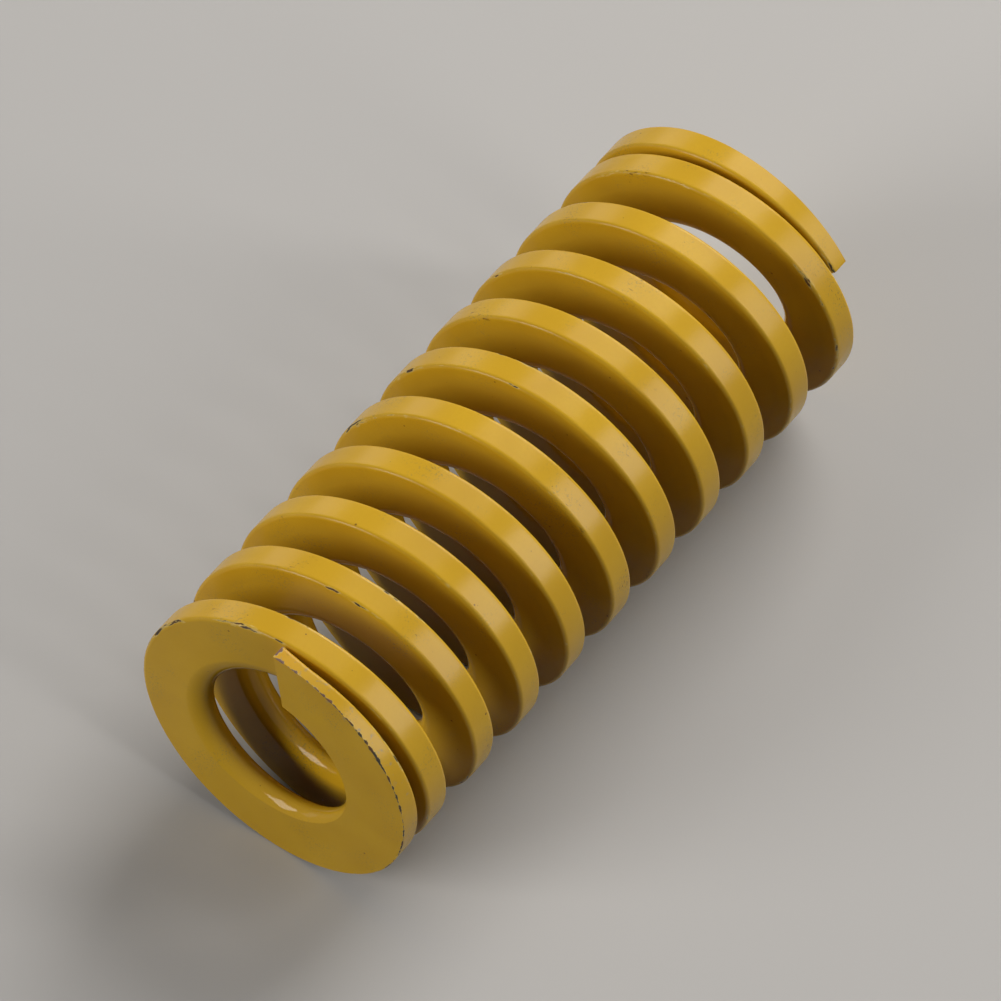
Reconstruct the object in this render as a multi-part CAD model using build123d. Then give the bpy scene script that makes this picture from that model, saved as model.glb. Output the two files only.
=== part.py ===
"""Die spring of flat wire: closed, ground ends and a round-nosed rectangular section.

Frame: Z along the coil axis, origin at the centre of the lower ground end face.
The lower wire tip lies on +X and the coil climbs anticlockwise, so it is right-handed.
"""

from build123d import *
from math import cos, pi, radians, sin
import os

# Driving dimensions, in millimetres and degrees
OUTER_D = 25.0  # coil outside diameter
BORE_D = 13.5  # coil inside diameter, which runs on a guide rod
FREE_LENGTH = 60.0  # between the two ground faces
WIRE_T = 2.45  # wire thickness along the axis
CORNER = 0.3  # broken outer corners of the wire
NOSE = 1.55  # radial depth of the wire's rounded inner side
NOSE_FACETS = 5  # flats that stand for that rounding, the middle one on the bore
WIRE_TURN = 4018.5  # degrees of wire from the lower tip to the upper tip

# What grinding leaves of the wire's thickness at each tip
LOWER_TIP_T = 1.51
UPPER_TIP_T = 0.88

# Pitch in millimetres a turn, against degrees back from each tip. The tip lifts a little,
# the closed turn lies nearly flat, and the coil then opens just past its even pitch.
LOWER_END = [(0, 4.0), (60, 3.4), (105, 1.0), (130, 0.1), (225, 0.1), (305, 5.6), (390, 6.9)]
LOWER_END += [(450, 6.4)]
UPPER_END = [(0, 4.8), (60, 4.2), (110, 1.35), (260, 1.35), (330, 6.2), (380, 6.9)]
UPPER_END += [(450, 6.4)]
SETTLE = 560.0  # degrees from a tip to where the even pitch starts

STRETCHES = 11  # lengths, of about a turn, that each face of the wire is drawn in
POINTS = 24  # steps between the points that the edges of one stretch run through


def rise(end, angle, even):
    """Height that an end gains over an angle from its tip, its pitch changing evenly
    from knot to knot."""
    knots = end + [(SETTLE, even)]
    height = max(angle - SETTLE, 0.0) * even / 360
    for (start, p0), (stop, p1) in zip(knots, knots[1:]):
        span = min(max(angle - start, 0.0), stop - start)
        slope = (p1 - p0) / (stop - start)
        height += (p0 + slope * span / 2) * span / 360
    return height


def even_pitch():
    """Pitch of the middle turns, which share the height that the ends leave them."""
    total = FREE_LENGTH + WIRE_T - LOWER_TIP_T - UPPER_TIP_T
    closed = rise(LOWER_END, SETTLE, 0.0) + rise(UPPER_END, SETTLE, 0.0)
    share = rise(LOWER_END, SETTLE, 1.0) + rise(UPPER_END, SETTLE, 1.0) - closed
    return (total - closed) / (share + (WIRE_TURN - 2 * SETTLE) / 360)


def centre_height(angle):
    """Height of the middle of the wire, at an angle along it from the lower tip."""
    even = even_pitch()
    if angle < WIRE_TURN - SETTLE:
        return LOWER_TIP_T - WIRE_T / 2 + rise(LOWER_END, angle, even)
    return FREE_LENGTH - UPPER_TIP_T + WIRE_T / 2 - rise(UPPER_END, WIRE_TURN - angle, even)


def pitch_at(angle):
    """Pitch of the coil at an angle along the wire from the lower tip."""
    end, back = LOWER_END, angle
    if angle > WIRE_TURN / 2:
        end, back = UPPER_END, WIRE_TURN - angle
    knots = end + [(SETTLE, even_pitch())]
    for (start, p0), (stop, p1) in zip(knots, knots[1:]):
        if back <= stop:
            return p0 + (p1 - p0) * (back - start) / (stop - start)
    return even_pitch()


def section_corners():
    """Corners of the wire's section in order, each a radius and a height from its middle."""
    half = WIRE_T / 2
    outer, flat = OUTER_D / 2, BORE_D / 2 + NOSE
    upper = [(flat, half), (outer - CORNER, half), (outer, half - CORNER)]
    lower = [(radius, -z) for radius, z in reversed(upper)]
    depth = NOSE / cos(pi / 2 / NOSE_FACETS)
    nose = []
    for i in range(1, NOSE_FACETS):
        a = -pi / 2 + pi * i / NOSE_FACETS
        nose.append((flat - depth * cos(a), half * sin(a)))
    return upper + lower + nose


def on_wire(corner, angle):
    """Point where a corner of the section is at an angle along the wire."""
    radius, z = corner
    turn = radians(angle)
    return (radius * cos(turn), radius * sin(turn), centre_height(angle) + z)


def direction(corner, angle):
    """Way along the edge that a corner of the section draws, at an angle along the wire."""
    radius, turn = corner[0], radians(angle)
    return Vector(-radius * sin(turn), radius * cos(turn), pitch_at(angle) / (2 * pi)).normalized()


def corner_edge(corner, start, stop):
    """Edge that a corner of the section draws from one angle along the wire to another."""
    points = [on_wire(corner, start + (stop - start) * i / POINTS) for i in range(POINTS + 1)]
    ends = [direction(corner, start), direction(corner, stop)]
    return Spline(points, tangents=ends, tangent_scalars=[1, 1]).edge()


def stretch_faces(start, stop):
    """Ruled faces of the wire from one angle to another, one between each two edges."""
    edges = [corner_edge(corner, start, stop) for corner in section_corners()]
    pairs = zip(edges, edges[1:] + edges[:1])
    return [Face.make_surface_from_curves(edge, following) for edge, following in pairs]


def tip_face(angle):
    """Flat face that cuts the wire off square at an angle along it."""
    outline = Polyline([on_wire(corner, angle) for corner in section_corners()], close=True)
    return make_face(outline).face()


def coil():
    """The coil at its full thickness, before its ends are ground."""
    faces = [tip_face(0.0), tip_face(WIRE_TURN)]
    for i in range(STRETCHES):
        faces += stretch_faces(WIRE_TURN * i / STRETCHES, WIRE_TURN * (i + 1) / STRETCHES)
    return Solid(Shell(faces))


def die_spring():
    """The coil with both of its ends ground square to the axis."""
    to_length = Cylinder(OUTER_D, FREE_LENGTH, align=(Align.CENTER, Align.CENTER, Align.MIN))
    return coil() & to_length


os.makedirs("parts", exist_ok=True)
export_step(die_spring(), "parts/die_spring.step")
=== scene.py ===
"""Dressed scene of a die spring: an enamelled coil of flat wire with ground ends.

Units are metres in the part's own frame: Z along the coil, origin on the lower ground end.
"""

import logging
import math
from dataclasses import dataclass, field
from enum import Enum

import bmesh
import bpy
from mathutils import Matrix, Vector

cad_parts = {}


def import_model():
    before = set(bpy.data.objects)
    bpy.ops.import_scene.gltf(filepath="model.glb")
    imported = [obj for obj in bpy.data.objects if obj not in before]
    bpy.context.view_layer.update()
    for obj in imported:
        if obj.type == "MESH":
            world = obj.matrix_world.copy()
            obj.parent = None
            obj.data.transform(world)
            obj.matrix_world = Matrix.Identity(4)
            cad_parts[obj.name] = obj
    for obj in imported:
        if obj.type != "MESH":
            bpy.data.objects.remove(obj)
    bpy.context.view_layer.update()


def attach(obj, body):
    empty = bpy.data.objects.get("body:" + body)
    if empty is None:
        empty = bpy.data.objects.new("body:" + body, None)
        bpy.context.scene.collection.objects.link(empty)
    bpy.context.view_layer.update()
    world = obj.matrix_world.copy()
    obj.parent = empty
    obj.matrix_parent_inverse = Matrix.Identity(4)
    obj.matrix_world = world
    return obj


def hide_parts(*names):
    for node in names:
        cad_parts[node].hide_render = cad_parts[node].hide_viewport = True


log = logging.getLogger("die_spring")

MM = 0.001
WIRE_PLACE = "wire_place"
TIP_FACE = "tip_face"
# Degrees from each tip at which the even pitch of the middle turns starts
SETTLED = 560.0
# Edges that turn by more than this are real corners, and the others are the steps of a round
CORNER_ANGLE = math.radians(40)


def linear(code: str) -> tuple[float, float, float, float]:
    """Turns an sRGB hex colour to linear.

    Args:
        code: colour as "#RRGGBB".

    Returns:
        Linear red, green, blue and an alpha of 1.
    """
    parts = [int(code[i : i + 2], 16) / 255 for i in (1, 3, 5)]
    curve = [c / 12.92 if c <= 0.04045 else ((c + 0.055) / 1.055) ** 2.4 for c in parts]
    return (curve[0], curve[1], curve[2], 1.0)


def add_node(tree: bpy.types.NodeTree, kind: str, inputs: dict | None = None, **settings) -> bpy.types.Node:
    """Adds a node with its settings, and links or sets its inputs.

    Args:
        tree: node tree that gets the node.
        kind: Blender's name of the node type.
        inputs: input name or index, to a socket to link from or a value to set.
        **settings: properties of the node itself.

    Returns:
        The new node.
    """
    node = tree.nodes.new(kind)
    for name, value in settings.items():
        setattr(node, name, value)
    for key, value in (inputs or {}).items():
        if isinstance(value, bpy.types.NodeSocket):
            tree.links.new(value, node.inputs[key])
        else:
            node.inputs[key].default_value = value
    return node


class WireEnd(Enum):
    """The two closed ends of the coil, each with its pitch in mm a turn at degrees back from the tip."""

    LOWER = ((0, 4.0), (60, 3.4), (105, 1.0), (130, 0.1), (225, 0.1), (305, 5.6), (390, 6.9), (450, 6.4))
    UPPER = ((0, 4.8), (60, 4.2), (110, 1.35), (260, 1.35), (330, 6.2), (380, 6.9), (450, 6.4))

    def rise(self, angle: float, even: float) -> float:
        """Height gained from the tip.

        Args:
            angle: degrees along the wire from this end's tip.
            even: even pitch of the middle turns, in mm.

        Returns:
            Height in mm.
        """
        knots = list(self.value) + [(SETTLED, even)]
        height = max(angle - SETTLED, 0.0) * even / 360
        for (start, p0), (stop, p1) in zip(knots, knots[1:]):
            span = min(max(angle - start, 0.0), stop - start)
            height += (p0 + (p1 - p0) / (stop - start) * span / 2) * span / 360
        return height


def calc(tree: bpy.types.NodeTree, operation: str, *values, clamp: bool = False) -> bpy.types.NodeSocket:
    """Adds a math node.

    Args:
        tree: node tree that gets the node.
        operation: Blender's name of the operation.
        *values: numbers or sockets, in the node's order.
        clamp: whether the result is held between 0 and 1.

    Returns:
        The result's socket.
    """
    node = add_node(tree, "ShaderNodeMath", dict(enumerate(values)), operation=operation, use_clamp=clamp)
    return node.outputs[0]


def grain(
    tree: bpy.types.NodeTree, place: bpy.types.NodeSocket, size: float, detail: float = 2.0, **settings
) -> bpy.types.NodeSocket:
    """Adds smooth noise.

    Args:
        tree: node tree that gets the noise.
        place: position in mm.
        size: size of one cloud in mm.
        detail: layers of finer noise on top.
        **settings: other inputs of the noise by name.

    Returns:
        Socket of the noise, about 0.5 on the whole.
    """
    inputs = {"Vector": place, "Scale": 1 / size, "Detail": detail} | settings
    return add_node(tree, "ShaderNodeTexNoise", inputs).outputs[0]


def seen_directly(tree: bpy.types.NodeTree) -> bpy.types.NodeSocket:
    """Tells what is looked at, straight on or by gloss or glass, from what only throws soft light.

    Args:
        tree: node tree that gets the nodes.

    Returns:
        Socket that is 1 where a surface is looked at.
    """
    path = add_node(tree, "ShaderNodeLightPath").outputs
    mirrored = calc(tree, "MAXIMUM", path["Is Glossy Ray"], path["Is Transmission Ray"])
    return calc(tree, "MAXIMUM", path["Is Camera Ray"], mirrored)


def blend(tree: bpy.types.NodeTree, share, first, second) -> bpy.types.NodeSocket:
    """Mixes two colours.

    Args:
        tree: node tree that gets the mix.
        share: how much of the second colour shows.
        first: colour or socket at a share of 0.
        second: colour or socket at a share of 1.

    Returns:
        Socket of the mixed colour.
    """
    return add_node(tree, "ShaderNodeMix", {0: share, 6: first, 7: second}, data_type="RGBA").outputs[2]


@dataclass
class WirePlace:
    """Where a point of the enamel lies on the wire, as sockets in mm, with its gaps to the sharp edges."""

    tree: bpy.types.NodeTree
    outer_radius: float
    nose_start: float
    half_thickness: float
    free_length: float
    wire_length: float

    def __post_init__(self) -> None:
        """Reads the position, the turned position on the straight wire, and their parts."""
        t = self.tree
        here = add_node(t, "ShaderNodeTexCoord").outputs["Object"]
        wire = add_node(t, "ShaderNodeAttribute", attribute_name=WIRE_PLACE).outputs["Vector"]
        self.point = self.stretched(here, (1, 1, 1))
        self.wire = wire
        parts = add_node(t, "ShaderNodeSeparateXYZ", {0: self.point}).outputs
        self.x, self.y, self.z = parts[0], parts[1], parts[2]
        self.radius = self.gap(self.x, self.y)
        along = add_node(t, "ShaderNodeSeparateXYZ", {0: self.stretched(wire, (1, 1, 1))}).outputs
        self.along, self.height = along[0], along[2]

    def stretched(
        self, vector: bpy.types.NodeSocket, sizes: tuple[float, float, float]
    ) -> bpy.types.NodeSocket:
        """Turns a position in metres to one in mm, divided by a size on each axis.

        Args:
            vector: position in metres.
            sizes: grain on each axis, in mm.

        Returns:
            Socket of the divided position.
        """
        scale = tuple(1 / (MM * size) for size in sizes)
        node = add_node(self.tree, "ShaderNodeVectorMath", {0: vector, 1: scale}, operation="MULTIPLY")
        return node.outputs[0]

    def gap(self, first: bpy.types.NodeSocket, second: bpy.types.NodeSocket) -> bpy.types.NodeSocket:
        """Distance to a line, from two distances at right angles, such as to an edge from its two faces."""
        squares = [calc(self.tree, "POWER", value, 2.0) for value in (first, second)]
        return calc(self.tree, "SQRT", calc(self.tree, "ADD", *squares))

    def to_band(self) -> bpy.types.NodeSocket:
        """Distance in from the outside of the coil."""
        return calc(self.tree, "SUBTRACT", self.outer_radius, self.radius)

    def to_side(self) -> bpy.types.NodeSocket:
        """Distance in from the nearer flat side of the wire."""
        return calc(self.tree, "SUBTRACT", self.half_thickness, calc(self.tree, "ABSOLUTE", self.height))

    def to_upper_face(self) -> bpy.types.NodeSocket:
        """Distance down from the upper ground face."""
        return calc(self.tree, "SUBTRACT", self.free_length, self.z)

    def on_last_turn(self) -> bpy.types.NodeSocket:
        """1 within 0.6 mm of the upper end and falling to 0 over the next 1.5 mm."""
        return calc(self.tree, "MULTIPLY_ADD", self.to_upper_face(), -1 / 1.5, 1.4, clamp=True)

    def on_nose(self) -> bpy.types.NodeSocket:
        """1 on the round nose inside the coil, 0 on the flat sides and the band."""
        return calc(self.tree, "MULTIPLY_ADD", self.radius, -5.0, 5.0 * self.nose_start, clamp=True)

    def to_upper_tip(self) -> bpy.types.NodeSocket:
        """Distance along the wire from the upper tip."""
        return calc(self.tree, "SUBTRACT", self.wire_length, self.along)

    def facing(self, azimuth: float) -> bpy.types.NodeSocket:
        """How far a point of the coil lies towards an azimuth in degrees: 1 there, -1 opposite."""
        a = math.radians(azimuth)
        reach = calc(
            self.tree,
            "ADD",
            calc(self.tree, "MULTIPLY", self.x, math.cos(a)),
            calc(self.tree, "MULTIPLY", self.y, math.sin(a)),
        )
        return calc(self.tree, "DIVIDE", reach, self.radius)


@dataclass(frozen=True)
class YellowEnamel:
    """Baked yellow enamel on spring steel: a satin skin with a soft sheen, worn through on the sharp edges.

    The eye gets a warm ochre with a broad pale highlight, dark flecks of bare steel along the
    corners, and fine lines where the drawn wire shows through the paint.
    """

    name: str = "baked_yellow_enamel_on_steel"
    paint: str = "#D6AE28"
    paint_deep: str = "#C9A021"
    steel: str = "#332F26"
    rust: str = "#5F3A18"
    rust_stain: str = "#D8822A"
    # Pale of the thin paint round each chip, which also paints part of the highlight line along the worn
    # corners
    thin_paint_and_highlight: str = "#DCC877"
    grime: str = "#857A4A"
    # Olive brown of the painted shade on the flat sides between the turns
    shade_between_turns: str = "#5C5834"
    bruise: str = "#8B8C86"
    dust: str = "#E6DDC8"
    scorched: str = "#8A6E6A"
    ior: float = 1.5
    specular: float = 0.25
    roughness: float = 0.24
    nose_roughness: float = 0.07
    chip_roughness: float = 0.55
    chip_depth: float = 0.03
    worn_azimuth: float = 3.0

    def chips(self, wire: WirePlace) -> bpy.types.NodeSocket:
        """Where the enamel is knocked off the edges.

        Args:
            wire: place on the wire.

        Returns:
            Socket that is over 0 on bare steel and falls away with distance from it.
        """
        t = wire.tree
        # Ragged outline of a chip, in grains of 0.3 by 1 mm that run with the wire, and a slow change
        # of wear over 7 mm
        streaks = grain(t, wire.stretched(wire.wire, (1.0, 0.3, 0.3)), 1.0, 3.0)
        ragged = calc(t, "MULTIPLY_ADD", streaks, 2.2, -1.1)
        slow = calc(t, "MULTIPLY_ADD", grain(t, wire.point, 7.0, 1.0), 2.2, -1.1)
        chance = calc(t, "ADD", ragged, slow)
        band, side, end = wire.to_band(), wire.to_side(), wire.to_upper_face()
        tip = wire.to_upper_tip()
        # The corner of the last turn, over the upper end, is knocked more than the others
        knocked = calc(t, "MULTIPLY_ADD", wire.on_last_turn(), 0.27, -0.25)
        corner_wear = calc(t, "MULTIPLY_ADD", wire.gap(band, side), -1 / 0.45, knocked)
        tip_wear = calc(t, "MULTIPLY_ADD", wire.gap(band, tip), -1 / 0.30, 0.05)
        knocks = calc(t, "ADD", calc(t, "MAXIMUM", corner_wear, tip_wear), chance)
        # The rim of the upper ground face is rubbed through on one side of the coil, in beads of 0.5 mm
        worn_side = calc(t, "MULTIPLY_ADD", wire.facing(self.worn_azimuth), 1.1, -0.36)
        worn_side = calc(t, "MINIMUM", worn_side, 0.46)
        rim_wear = calc(t, "MULTIPLY_ADD", wire.gap(band, end), -1 / 0.19, worn_side)
        beads = calc(t, "MULTIPLY_ADD", grain(t, wire.point, 0.5, 3.0), 3.4, -1.8)
        beads = calc(t, "MULTIPLY_ADD", slow, 0.5, beads)
        return calc(t, "MAXIMUM", knocks, calc(t, "ADD", rim_wear, beads))

    def specks(self, wire: WirePlace, spacing: float, reach: float, kept: float) -> bpy.types.NodeSocket:
        """Small round specks, sown over the whole wire.

        Args:
            wire: place on the wire.
            spacing: mean spacing in mm.
            reach: radius of the largest speck, as a share of the spacing.
            kept: share of the specks that show.

        Returns:
            Socket that is 1 on a speck.
        """
        t = wire.tree
        cells = add_node(t, "ShaderNodeTexVoronoi", {"Vector": wire.point, "Scale": 1 / spacing})
        lot = add_node(t, "ShaderNodeSeparateColor", {0: cells.outputs["Color"]}).outputs[0]
        size = calc(t, "MULTIPLY", calc(t, "SUBTRACT", lot, 1 - kept), reach / kept)
        return calc(t, "MULTIPLY", calc(t, "SUBTRACT", size, cells.outputs["Distance"]), 40.0, clamp=True)

    def scuffs(self, wire: WirePlace) -> bpy.types.NodeSocket:
        """Short rusty scuffs along the wire, in a few patches.

        Args:
            wire: place on the wire.

        Returns:
            Socket that is 1 on a scuff.
        """
        t = wire.tree
        # Scuffs about 0.5 mm long and 0.15 mm wide, in patches of 4 mm, on the outside of the coil
        lines = grain(t, wire.stretched(wire.wire, (0.5, 0.5, 0.15)), 1.0, 2.0)
        clouds = grain(t, wire.point, 4.0, 1.0, Distortion=0.5)
        patch = calc(t, "MULTIPLY_ADD", clouds, 14.0, -9.0, clamp=True)
        outside = calc(t, "MULTIPLY_ADD", wire.to_band(), -1 / 0.3, 1.6, clamp=True)
        patch = calc(t, "MULTIPLY", patch, outside)
        return calc(t, "MULTIPLY", calc(t, "MULTIPLY_ADD", lines, 16.0, -9.8, clamp=True), patch)

    def colour(
        self, wire: WirePlace, chips: bpy.types.NodeSocket, bare: bpy.types.NodeSocket
    ) -> bpy.types.NodeSocket:
        """Colour of the enamel, its stains and the steel under it, with painted shade between the turns and a
        pale line round the chips that also paints part of the corner highlight.

        Args:
            wire: place on the wire.
            chips: score of the chips, over 0 on bare steel.
            bare: share of bare steel.

        Returns:
            Socket of the colour.
        """
        t = wire.tree
        # Mottling of the sprayed coat, in clouds of 6 mm, and a fine grain of 0.25 mm
        clouds = calc(t, "MULTIPLY_ADD", grain(t, wire.point, 6.0, 2.0), 2.0, -0.5, clamp=True)
        tone = blend(t, clouds, linear(self.paint), linear(self.paint_deep))
        fine = calc(t, "MULTIPLY_ADD", grain(t, wire.point, 0.25, 1.0), 0.6, -0.2, clamp=True)
        tone = blend(t, fine, tone, linear(self.paint_deep))
        # Painted shade between the turns: the flat sides are darkened towards an olive brown, growing over
        # 1.4 mm in from the band, and not on the last turn at the upper end
        on_side = calc(t, "MULTIPLY_ADD", wire.to_side(), -1 / 0.1, 1.3, clamp=True)
        inward = calc(t, "MULTIPLY_ADD", wire.to_band(), 1 / 1.4, -0.1, clamp=True)
        hidden = calc(t, "MULTIPLY_ADD", wire.on_last_turn(), -0.24, 0.24)
        shade_between_turns = calc(t, "MULTIPLY", calc(t, "MULTIPLY", on_side, inward), hidden)
        tone = blend(t, shade_between_turns, tone, linear(self.shade_between_turns))
        # Grime: specks of 0.16 mm in patches of 4 mm
        dirt = calc(t, "MULTIPLY_ADD", grain(t, wire.point, 0.16, 2.0), 9.0, -5.0, clamp=True)
        patch = calc(t, "MULTIPLY_ADD", grain(t, wire.point, 4.0, 2.0), 6.0, -3.2, clamp=True)
        tone = blend(t, calc(t, "MULTIPLY", calc(t, "MULTIPLY", dirt, patch), 0.55), tone, linear(self.grime))
        # The last 3 mm of the upper tip are stained by rust, and the next 14 mm bruised to grey
        near_tip = wire.to_upper_tip()
        at_band = calc(t, "MULTIPLY_ADD", wire.to_band(), -1 / 0.4, 1.3, clamp=True)
        stain = calc(t, "MULTIPLY_ADD", near_tip, -1 / 3.0, 1.0, clamp=True)
        stain = calc(t, "MULTIPLY", calc(t, "MULTIPLY", stain, at_band), 0.16)
        tone = blend(t, stain, tone, linear(self.rust_stain))
        late = calc(t, "MULTIPLY_ADD", near_tip, -1 / 10.0, 1.7, clamp=True)
        spots = calc(t, "MULTIPLY_ADD", grain(t, wire.point, 0.7, 2.0), 10.0, -6.1, clamp=True)
        spots = calc(t, "MULTIPLY", calc(t, "MULTIPLY", spots, late), calc(t, "MULTIPLY", at_band, 0.6))
        tone = blend(t, spots, tone, linear(self.bruise))
        tone = blend(t, calc(t, "MULTIPLY", self.scuffs(wire), 0.75), tone, linear(self.rust))
        # Specks of rust, small and larger, and a few of dust: spacing, reach, share kept, strength, colour
        sown = (
            (0.8, 0.08, 0.40, 0.5, self.rust),
            (1.5, 0.09, 0.45, 0.75, self.rust),
            (1.4, 0.06, 0.08, 0.8, self.dust),
        )
        for spacing, reach, kept, strength, speck in sown:
            shown = calc(t, "MULTIPLY", self.specks(wire, spacing, reach, kept), strength)
            tone = blend(t, shown, tone, linear(speck))
        # The broken edge of the paint is thin and pale in a narrow line round each chip, and along the worn
        # corners and rims this pale line is also painted highlight, standing in for the bright line of light
        # on the corner
        edge = calc(t, "MULTIPLY_ADD", chips, 5.0, 1.0, clamp=True)
        tone = blend(t, calc(t, "MULTIPLY", edge, 0.7), tone, linear(self.thin_paint_and_highlight))
        metal_mix = calc(t, "MULTIPLY_ADD", grain(t, wire.point, 0.8, 2.0), 5.0, -2.2, clamp=True)
        metal = blend(t, metal_mix, linear(self.steel), linear(self.rust))
        at_tip = calc(t, "MULTIPLY_ADD", near_tip, -1 / 4.0, 1.5, clamp=True)
        metal = blend(t, calc(t, "MULTIPLY", at_tip, 0.7), metal, linear(self.scorched))
        return blend(t, bare, tone, metal)

    def relief(self, wire: WirePlace, bare: bpy.types.NodeSocket) -> bpy.types.NodeSocket:
        """Fine relief of the skin.

        Args:
            wire: place on the wire.
            bare: share of bare steel.

        Returns:
            Socket of the shading normal.
        """
        t = wire.tree
        # Orange peel of 0.8 mm, 0.004 mm high
        peel = grain(t, wire.point, 0.8, 1.0)
        normal = add_node(t, "ShaderNodeBump", {"Height": peel, "Distance": 0.004 * MM, "Strength": 1.0})
        # Drawing lines 0.15 mm apart, 30 mm long and 0.002 mm high, on the round nose only
        lines = grain(t, wire.stretched(wire.wire, (30.0, 0.15, 0.15)), 1.0, 1.0)
        lines = calc(t, "MULTIPLY", lines, wire.on_nose())
        normal = add_node(
            t,
            "ShaderNodeBump",
            {"Height": lines, "Distance": 0.002 * MM, "Strength": 1.0, "Normal": normal.outputs[0]},
        )
        sunk = calc(t, "SUBTRACT", 1.0, bare)
        normal = add_node(
            t,
            "ShaderNodeBump",
            {"Height": sunk, "Distance": self.chip_depth * MM, "Strength": 0.6, "Normal": normal.outputs[0]},
        )
        return normal.outputs[0]

    def material(self, coil: "FlatWireCoil") -> bpy.types.Material:
        """Builds the enamel's material.

        Args:
            coil: the coil that wears it, for its sizes.

        Returns:
            The new material.
        """
        mat = bpy.data.materials.new(self.name)
        mat.use_nodes = True
        t = mat.node_tree
        t.nodes.clear()
        wire = WirePlace(
            t,
            outer_radius=coil.outer_radius,
            nose_start=coil.bore_radius + coil.nose,
            half_thickness=coil.thickness / 2,
            free_length=coil.free_length,
            wire_length=coil.wire_length() - coil.upper_back,
        )
        chips = self.chips(wire)
        bare = calc(t, "MULTIPLY", chips, 8.0, clamp=True)
        smoother = self.nose_roughness - self.roughness
        rough = calc(t, "MULTIPLY_ADD", wire.on_nose(), smoother, self.roughness)
        rougher = calc(t, "MULTIPLY", calc(t, "SUBTRACT", self.chip_roughness, rough), bare)
        skin = add_node(
            t,
            "ShaderNodeBsdfPrincipled",
            {
                "Base Color": self.colour(wire, chips, bare),
                "Roughness": calc(t, "ADD", rough, rougher),
                "IOR": self.ior,
                "Specular IOR Level": self.specular,
                "Normal": self.relief(wire, bare),
            },
        )
        add_node(t, "ShaderNodeOutputMaterial", {"Surface": skin.outputs["BSDF"]})
        return mat


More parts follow.
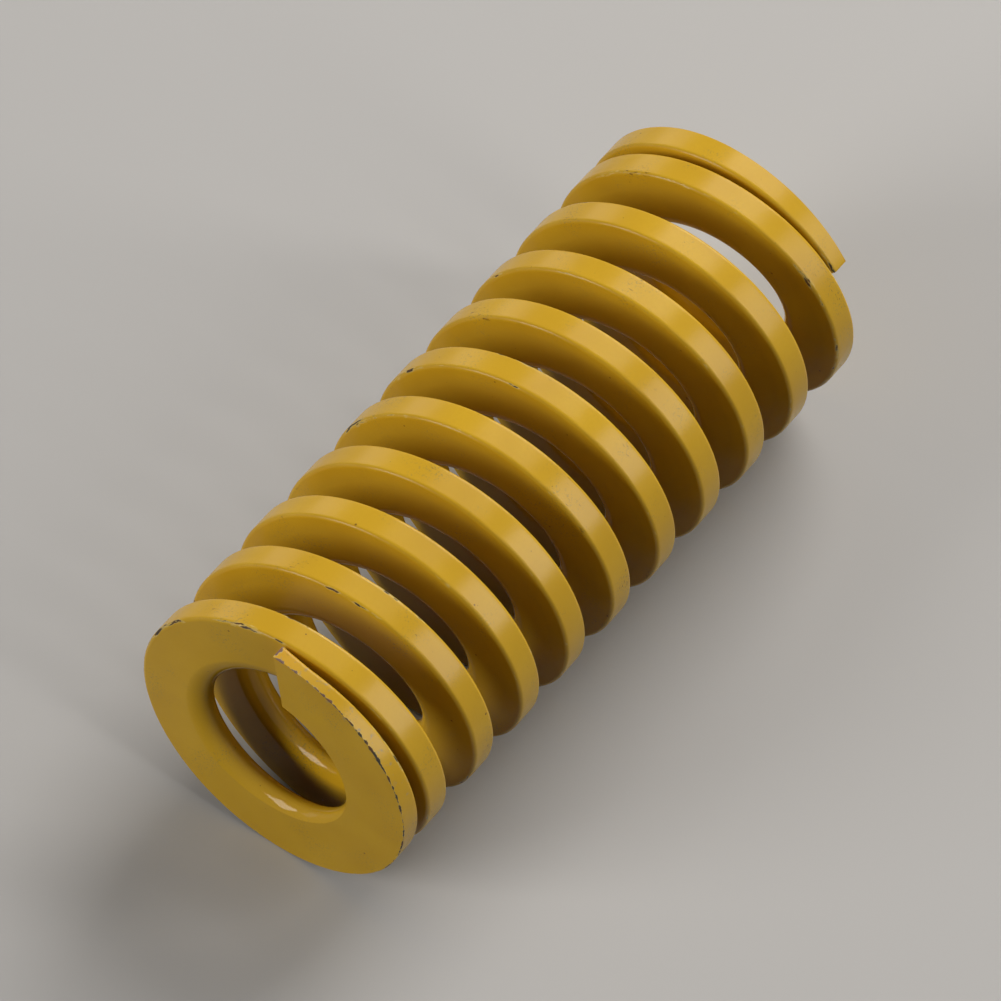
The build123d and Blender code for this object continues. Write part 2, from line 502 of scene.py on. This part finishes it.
@dataclass
class FlatWireCoil:
    """The die spring itself: one flat wire, coiled, closed and ground at both ends.

    Sizes are in mm, and turns in degrees along the wire. A tip's size is its thickness where the wire
    is cut, and its back is how far short of the full turn the cut lies.
    """

    outer_radius: float = 12.5
    bore_radius: float = 6.75
    free_length: float = 60.0
    thickness: float = 2.45
    corner: float = 0.3
    nose: float = 1.55
    wire_turn: float = 4018.5
    lower_tip: float = 1.51
    upper_tip: float = 0.88
    stretches: int = 12
    steps: int = 140
    corner_steps: int = 6
    nose_steps: int = 9
    flat_hold: float = 0.06
    tip_ease: float = 0.24
    tip_dip: float = 0.45
    tip_dip_turn: float = 15.0
    nose_onset: float = 1.3
    lower_back: float = 0.35
    upper_back: float = 0.15
    upper_slant: float = 0.15
    finish: YellowEnamel = field(default_factory=YellowEnamel)

    def wire_length(self) -> float:
        """Length in mm of the wound wire along its middle, as noted at each point."""
        return math.radians(self.wire_turn) * (self.outer_radius + self.bore_radius) / 2

    def even_pitch(self) -> float:
        """Pitch in mm of the middle turns, which share the height that the ends leave."""
        total = self.free_length + self.thickness - self.lower_tip - self.upper_tip
        closed = sum(end.rise(SETTLED, 0.0) for end in WireEnd)
        share = sum(end.rise(SETTLED, 1.0) for end in WireEnd) - closed
        return (total - closed) / (share + (self.wire_turn - 2 * SETTLED) / 360)

    def centre_height(self, angle: float) -> float:
        """Height in mm of the middle of the wire, at degrees from the lower tip."""
        even = self.even_pitch()
        if angle < self.wire_turn - SETTLED:
            return self.lower_tip - self.thickness / 2 + WireEnd.LOWER.rise(angle, even)
        top = self.free_length - self.upper_tip + self.thickness / 2
        # The wire's end dips towards the turn below, and stays 0.07 mm clear of it
        share = max(1.0 - (self.wire_turn - angle) / self.tip_dip_turn, 0.0)
        return top - WireEnd.UPPER.rise(self.wire_turn - angle, even) - self.tip_dip * share**1.5

    def draw_section(self, bm: bmesh.types.BMesh) -> list:
        """Draws the wire's section at the lower tip: a rectangle with broken outer corners and a round nose.

        Args:
            bm: empty mesh that gets the section.

        Returns:
            The section's vertices, edges and face.
        """
        half = self.thickness / 2 * MM
        flat_start = (self.bore_radius + self.nose) * MM
        inner, outer = flat_start - half, self.outer_radius * MM
        made = bmesh.ops.create_grid(bm, x_segments=1, y_segments=1, size=0.5)["verts"]
        bmesh.ops.scale(bm, vec=(outer - inner, 2 * half, 1.0), verts=made)
        bmesh.ops.rotate(bm, cent=(0, 0, 0), matrix=Matrix.Rotation(math.radians(90), 3, "X"), verts=made)
        bmesh.ops.translate(bm, vec=((outer + inner) / 2, 0, 0), verts=made)
        # The nose's two rounds stop just short of each other, and are merged afterwards
        rounds = ((outer, self.corner * MM, self.corner_steps), (inner, half * 0.9999, self.nose_steps))
        for side, radius, segments in rounds:
            corners = [v for v in bm.verts if abs(v.co.x - side) < 1e-6 and abs(abs(v.co.z) - half) < 1e-6]
            bmesh.ops.bevel(
                bm,
                geom=corners,
                offset=radius,
                offset_type="OFFSET",
                segments=segments,
                profile=0.5,
                affect="VERTICES",
                material=-1,
            )
        bmesh.ops.remove_doubles(bm, verts=list(bm.verts), dist=1e-6)
        # The nose starts with a faint corner
        for v in bm.verts:
            if v.co.x < flat_start:
                depth = (flat_start - v.co.x) / half
                v.co.x = flat_start - self.nose * MM * depth**self.nose_onset
        # A row of points near each end of a flat keeps the shading of its rounds off it
        flats = [e for e in bm.edges if e.calc_length() > 0.5 * MM]
        for edge in flats:
            first, last = edge.verts
            reach = self.flat_hold * MM / edge.calc_length()
            bmesh.utils.edge_split(edge, first, reach)
            tail = next(e for e in last.link_edges if e.calc_length() > 0.3 * MM)
            bmesh.utils.edge_split(tail, last, reach)
        return list(bm.verts) + list(bm.edges) + list(bm.faces)

    def wind(self, bm: bmesh.types.BMesh, section: list) -> None:
        """Winds the section up into the coil, and notes each point's place on the straight wire.

        One stretch is spun and repeated round the axis, and the turns are then lifted to their pitch.

        Args:
            bm: mesh that holds the section.
            section: the section's vertices, edges and face.
        """
        layer = bm.verts.layers.float_vector[WIRE_PLACE]
        arc = math.radians(self.wire_turn / self.stretches)
        mean = (self.outer_radius + self.bore_radius) / 2 * MM
        axis = {"cent": (0, 0, 0), "dvec": (0, 0, 0), "axis": (0, 0, 1)}
        bmesh.ops.spin(bm, geom=section, angle=arc, steps=self.steps, use_duplicate=False, **axis)
        for v in bm.verts:
            angle = math.atan2(v.co.y, v.co.x) % math.tau
            angle = 0.0 if angle > arc + 0.01 else angle
            v[layer] = (mean * angle, math.hypot(v.co.x, v.co.y), v.co.z)
        caps = [f for f in bm.faces if len(f.verts) > 4]
        bmesh.ops.delete(bm, geom=caps, context="FACES_ONLY")
        stretch = list(bm.verts) + list(bm.edges) + list(bm.faces)
        for i in range(1, self.stretches):
            copy = bmesh.ops.duplicate(bm, geom=stretch)["geom"]
            points = [v for v in copy if isinstance(v, bmesh.types.BMVert)]
            bmesh.ops.rotate(bm, cent=(0, 0, 0), matrix=Matrix.Rotation(arc * i, 3, "Z"), verts=points)
            for v in points:
                v[layer] = (v[layer][0] + mean * arc * i, v[layer][1], v[layer][2])
        for v in bm.verts:
            v.co.z = v[layer][2] + self.centre_height(math.degrees(v[layer][0] / mean)) * MM
        ends = [v for v in bm.verts if v.is_boundary]
        bmesh.ops.remove_doubles(bm, verts=ends, dist=0.002 * MM)

    def cut_tips(self, bm: bmesh.types.BMesh) -> None:
        """Cuts the wire off at both tips and closes it, the upper cut slanting back towards the bore.

        Args:
            bm: mesh that holds the wound wire, open at both tips.
        """
        layer = bm.verts.layers.float_vector[WIRE_PLACE]
        last = self.wire_length() * MM
        # Only the wire this close to its end is cut, and not the turns beside it
        reach = 2.5 * MM
        cuts = ((0.0, -1.0, self.lower_back, 0.0), (self.wire_turn, 1.0, self.upper_back, self.upper_slant))
        for turn, side, back, slant in cuts:
            a = math.radians(turn)
            outward = Vector((math.cos(a), math.sin(a), 0.0))
            forward = Vector((-math.sin(a), math.cos(a), 0.0)) * side
            near = [v for v in bm.verts if (last - v[layer][0] if side > 0 else v[layer][0]) < reach]
            edges = {e for v in near for e in v.link_edges}
            faces = {f for v in near for f in v.link_faces}
            bmesh.ops.bisect_plane(
                bm,
                geom=near + list(edges) + list(faces),
                dist=1e-8,
                plane_co=(outward * self.outer_radius - forward * back) * MM,
                plane_no=forward - outward * slant,
                clear_outer=True,
            )
        tips = bmesh.ops.holes_fill(bm, edges=[e for e in bm.edges if e.is_boundary], sides=0)["faces"]
        mark = bm.faces.layers.int[TIP_FACE]
        for face in tips:
            face[mark] = 1

    def grind(self, bm: bmesh.types.BMesh) -> None:
        """Grinds both ends square to the axis.

        Args:
            bm: mesh that holds the full-thickness coil.
        """
        for height, side in ((0.0, -1.0), (self.free_length * MM, 1.0)):
            cut = bmesh.ops.bisect_plane(
                bm,
                geom=list(bm.verts) + list(bm.edges) + list(bm.faces),
                dist=1e-8,
                plane_co=(0, 0, height),
                plane_no=(0, 0, side),
                clear_outer=True,
            )["geom_cut"]
            rim = [e for e in cut if isinstance(e, bmesh.types.BMEdge)]
            bmesh.ops.edgeloop_fill(bm, edges=rim)

    def ease_tips(self, bm: bmesh.types.BMesh) -> None:
        """Takes the sharpness off the cut tips. The rims of the ground faces stay sharp.

        Args:
            bm: mesh that holds the ground coil.
        """
        mark = bm.faces.layers.int[TIP_FACE]
        sharp = [e for e in bm.edges if e.is_manifold and e.calc_face_angle() > CORNER_ANGLE]
        bmesh.ops.bevel(
            bm,
            geom=[e for e in sharp if any(f[mark] for f in e.link_faces)],
            offset=self.tip_ease * MM,
            offset_type="OFFSET",
            segments=3,
            profile=0.5,
            affect="EDGES",
            material=-1,
            clamp_overlap=True,
        )

    def build(self) -> bpy.types.Object:
        """Builds and dresses the spring.

        Returns:
            The spring's object.
        """
        bm = bmesh.new()
        bm.verts.layers.float_vector.new(WIRE_PLACE)
        bm.faces.layers.int.new(TIP_FACE)
        section = self.draw_section(bm)
        self.wind(bm, section)
        self.cut_tips(bm)
        log.info("wound: %d vertices", len(bm.verts))
        self.grind(bm)
        self.ease_tips(bm)
        bmesh.ops.recalc_face_normals(bm, faces=list(bm.faces))
        # Only the cut and ground faces have more sides than this, and they are flat
        most_sides = 12
        for face in bm.faces:
            face.smooth = len(face.verts) <= most_sides
        # The rims of the ground faces shade as sharp edges, and don't bend the light on the band
        for edge in bm.edges:
            edge.smooth = edge.calc_face_angle(0.0) < CORNER_ANGLE
        open_edges = sum(1 for e in bm.edges if not e.is_manifold)
        log.info("ground and eased: %d faces, %d open edges", len(bm.faces), open_edges)
        mesh = bpy.data.meshes.new("enamelled_coil")
        bm.to_mesh(mesh)
        bm.free()
        mesh.materials.append(self.finish.material(self))
        coil = bpy.data.objects.new("enamelled_coil", mesh)
        bpy.context.collection.objects.link(coil)
        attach(coil, "root")
        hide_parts("die_spring")
        return coil


@dataclass(frozen=True)
class SoftLamp:
    """Soft lamp, placed round the spring by its azimuth from +X and its elevation, in degrees.

    It is square, or a strip where it has a height of its own.
    """

    name: str
    azimuth: float
    elevation: float
    power: float
    size: float = 0.30
    height: float | None = None
    distance: float = 0.70
    colour: str = "#FFF6EC"

    def hang(self, middle: Vector) -> bpy.types.Object:
        """Hangs the lamp, facing the spring.

        Args:
            middle: middle of the spring in metres.

        Returns:
            The lamp's object.
        """
        a, e = math.radians(self.azimuth), math.radians(self.elevation)
        towards = Vector((math.cos(a) * math.cos(e), math.sin(a) * math.cos(e), math.sin(e)))
        data = bpy.data.lights.new(self.name, "AREA")
        data.shape, data.energy = "RECTANGLE", self.power
        data.size, data.size_y = self.size, self.height or self.size
        data.color = linear(self.colour)[:3]
        lamp = bpy.data.objects.new(self.name, data)
        lamp.location = middle + towards * self.distance
        lamp.rotation_mode = "QUATERNION"
        lamp.rotation_quaternion = towards.to_track_quat("Z", "Y")
        bpy.context.collection.objects.link(lamp)
        return lamp


LAMPS = (
    SoftLamp("key", 60.0, -50.0, 4.7, size=0.5),
    SoftLamp("end_lamp", 112.0, 52.0, 2.55, size=0.32),
    SoftLamp("low_sheen", -5.0, -28.0, 1.30, size=0.46, height=0.12),
    SoftLamp("nose_strip", 5.0, 5.0, 0.75, size=0.60, height=0.10),
    SoftLamp("high_sheen", 132.0, -28.0, 0.30, size=0.26),
    SoftLamp("edge_lamp_front", 150.0, 29.0, 0.30, size=0.30),
    SoftLamp("edge_lamp_back", 177.0, 9.0, 0.70, size=0.16),
)
# Grey of the soft light that comes from all round
ROOM = 0.045


@dataclass
class Studio:
    """Pale floor that the spring lies on, soft lamps and the camera.

    Lengths are in mm and angles in degrees.
    """

    floor_azimuth: float = 60.0
    floor_gap: float = 0.02
    spring_radius: float = 12.5
    floor_colour: str = "#BBBEC1"
    floor_bounce: str = "#3A3B3C"
    room_colour: str = "#B6B5B3"
    aim: tuple[float, float, float] = (-0.294, -0.124, 30.566)
    azimuth: float = 125.993
    elevation: float = 28.788
    roll: float = -137.312
    distance: float = 713.988
    lens: float = 332.49

    def up(self) -> Vector:
        """Direction that the floor faces."""
        a = math.radians(self.floor_azimuth)
        return Vector((math.cos(a), math.sin(a), 0.0))

    def floor(self) -> bpy.types.Object:
        """Lays the pale floor under the spring, facing up.

        Returns:
            The floor's object.
        """
        bm = bmesh.new()
        bmesh.ops.create_grid(bm, x_segments=1, y_segments=1, size=1.5)
        mesh = bpy.data.meshes.new("floor")
        turn = self.up().to_track_quat("Z", "Y").to_matrix().to_4x4()
        bmesh.ops.transform(bm, matrix=turn, verts=list(bm.verts))
        depth = (self.spring_radius + self.floor_gap) * MM
        bmesh.ops.translate(bm, vec=self.up() * -depth, verts=list(bm.verts))
        bm.to_mesh(mesh)
        bm.free()
        mat = bpy.data.materials.new("matt_card")
        mat.use_nodes = True
        tree = mat.node_tree
        tree.nodes.clear()
        # The card looks pale to the eye and in gloss, and throws back less soft light than it shows
        colour = blend(tree, seen_directly(tree), linear(self.floor_bounce), linear(self.floor_colour))
        card = add_node(
            tree,
            "ShaderNodeBsdfPrincipled",
            {"Base Color": colour, "Roughness": 0.9, "Specular IOR Level": 0.1},
        )
        # From behind, the card is clear, so that it never hides the spring
        clear = add_node(tree, "ShaderNodeBsdfTransparent")
        back = add_node(tree, "ShaderNodeNewGeometry").outputs["Backfacing"]
        eye = add_node(tree, "ShaderNodeLightPath").outputs["Is Camera Ray"]
        behind = calc(tree, "MULTIPLY", eye, back)
        both = add_node(tree, "ShaderNodeMixShader", {0: behind, 1: card.outputs[0], 2: clear.outputs[0]})
        add_node(tree, "ShaderNodeOutputMaterial", {"Surface": both.outputs[0]})
        mesh.materials.append(mat)
        floor = bpy.data.objects.new("floor", mesh)
        bpy.context.collection.objects.link(floor)
        return floor

    def light(self) -> None:
        """Hangs the lamps and sets the soft light all round."""
        for lamp in LAMPS:
            lamp.hang(Vector(self.aim) * MM)
        world = bpy.data.worlds.new("room")
        bpy.context.scene.world = world
        world.use_nodes = True
        tree = world.node_tree
        tree.nodes.clear()
        # The room looks as pale as the floor, and throws only faint soft light
        room = (ROOM, ROOM, ROOM, 1.0)
        colour = blend(tree, seen_directly(tree), room, linear(self.room_colour))
        sky = add_node(tree, "ShaderNodeBackground", {"Color": colour, "Strength": 1.0})
        add_node(tree, "ShaderNodeOutputWorld", {"Surface": sky.outputs[0]})

    def camera(self) -> bpy.types.Object:
        """Places the camera.

        Returns:
            The camera's object.
        """
        a, e, r = (math.radians(v) for v in (self.azimuth, self.elevation, self.roll))
        back = Vector((math.sin(a) * math.cos(e), -math.cos(a) * math.cos(e), math.sin(e)))
        right = Vector((math.cos(a), math.sin(a), 0.0))
        up = back.cross(right)
        x = right * math.cos(r) + up * math.sin(r)
        y = up * math.cos(r) - right * math.sin(r)
        data = bpy.data.cameras.new("camera")
        data.lens, data.sensor_width = self.lens, 36.0
        data.clip_start, data.clip_end = 0.01, 10.0
        camera = bpy.data.objects.new("camera", data)
        turned = Matrix((x, y, back)).transposed().to_4x4()
        turned.translation = Vector(self.aim) * MM + back * self.distance * MM
        camera.matrix_world = turned
        bpy.context.collection.objects.link(camera)
        bpy.context.scene.camera = camera
        return camera


def main() -> None:
    """Builds the spring and its studio, in order."""
    logging.basicConfig(level=logging.INFO, format="%(name)s: %(message)s")
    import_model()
    bpy.context.scene.view_settings.view_transform = "Standard"
    spring = FlatWireCoil().build()
    log.info("%s: %d faces", spring.name, len(spring.data.polygons))
    studio = Studio()
    studio.floor()
    studio.light()
    studio.camera()
    log.info("studio ready")


if __name__ == "__main__":
    main()
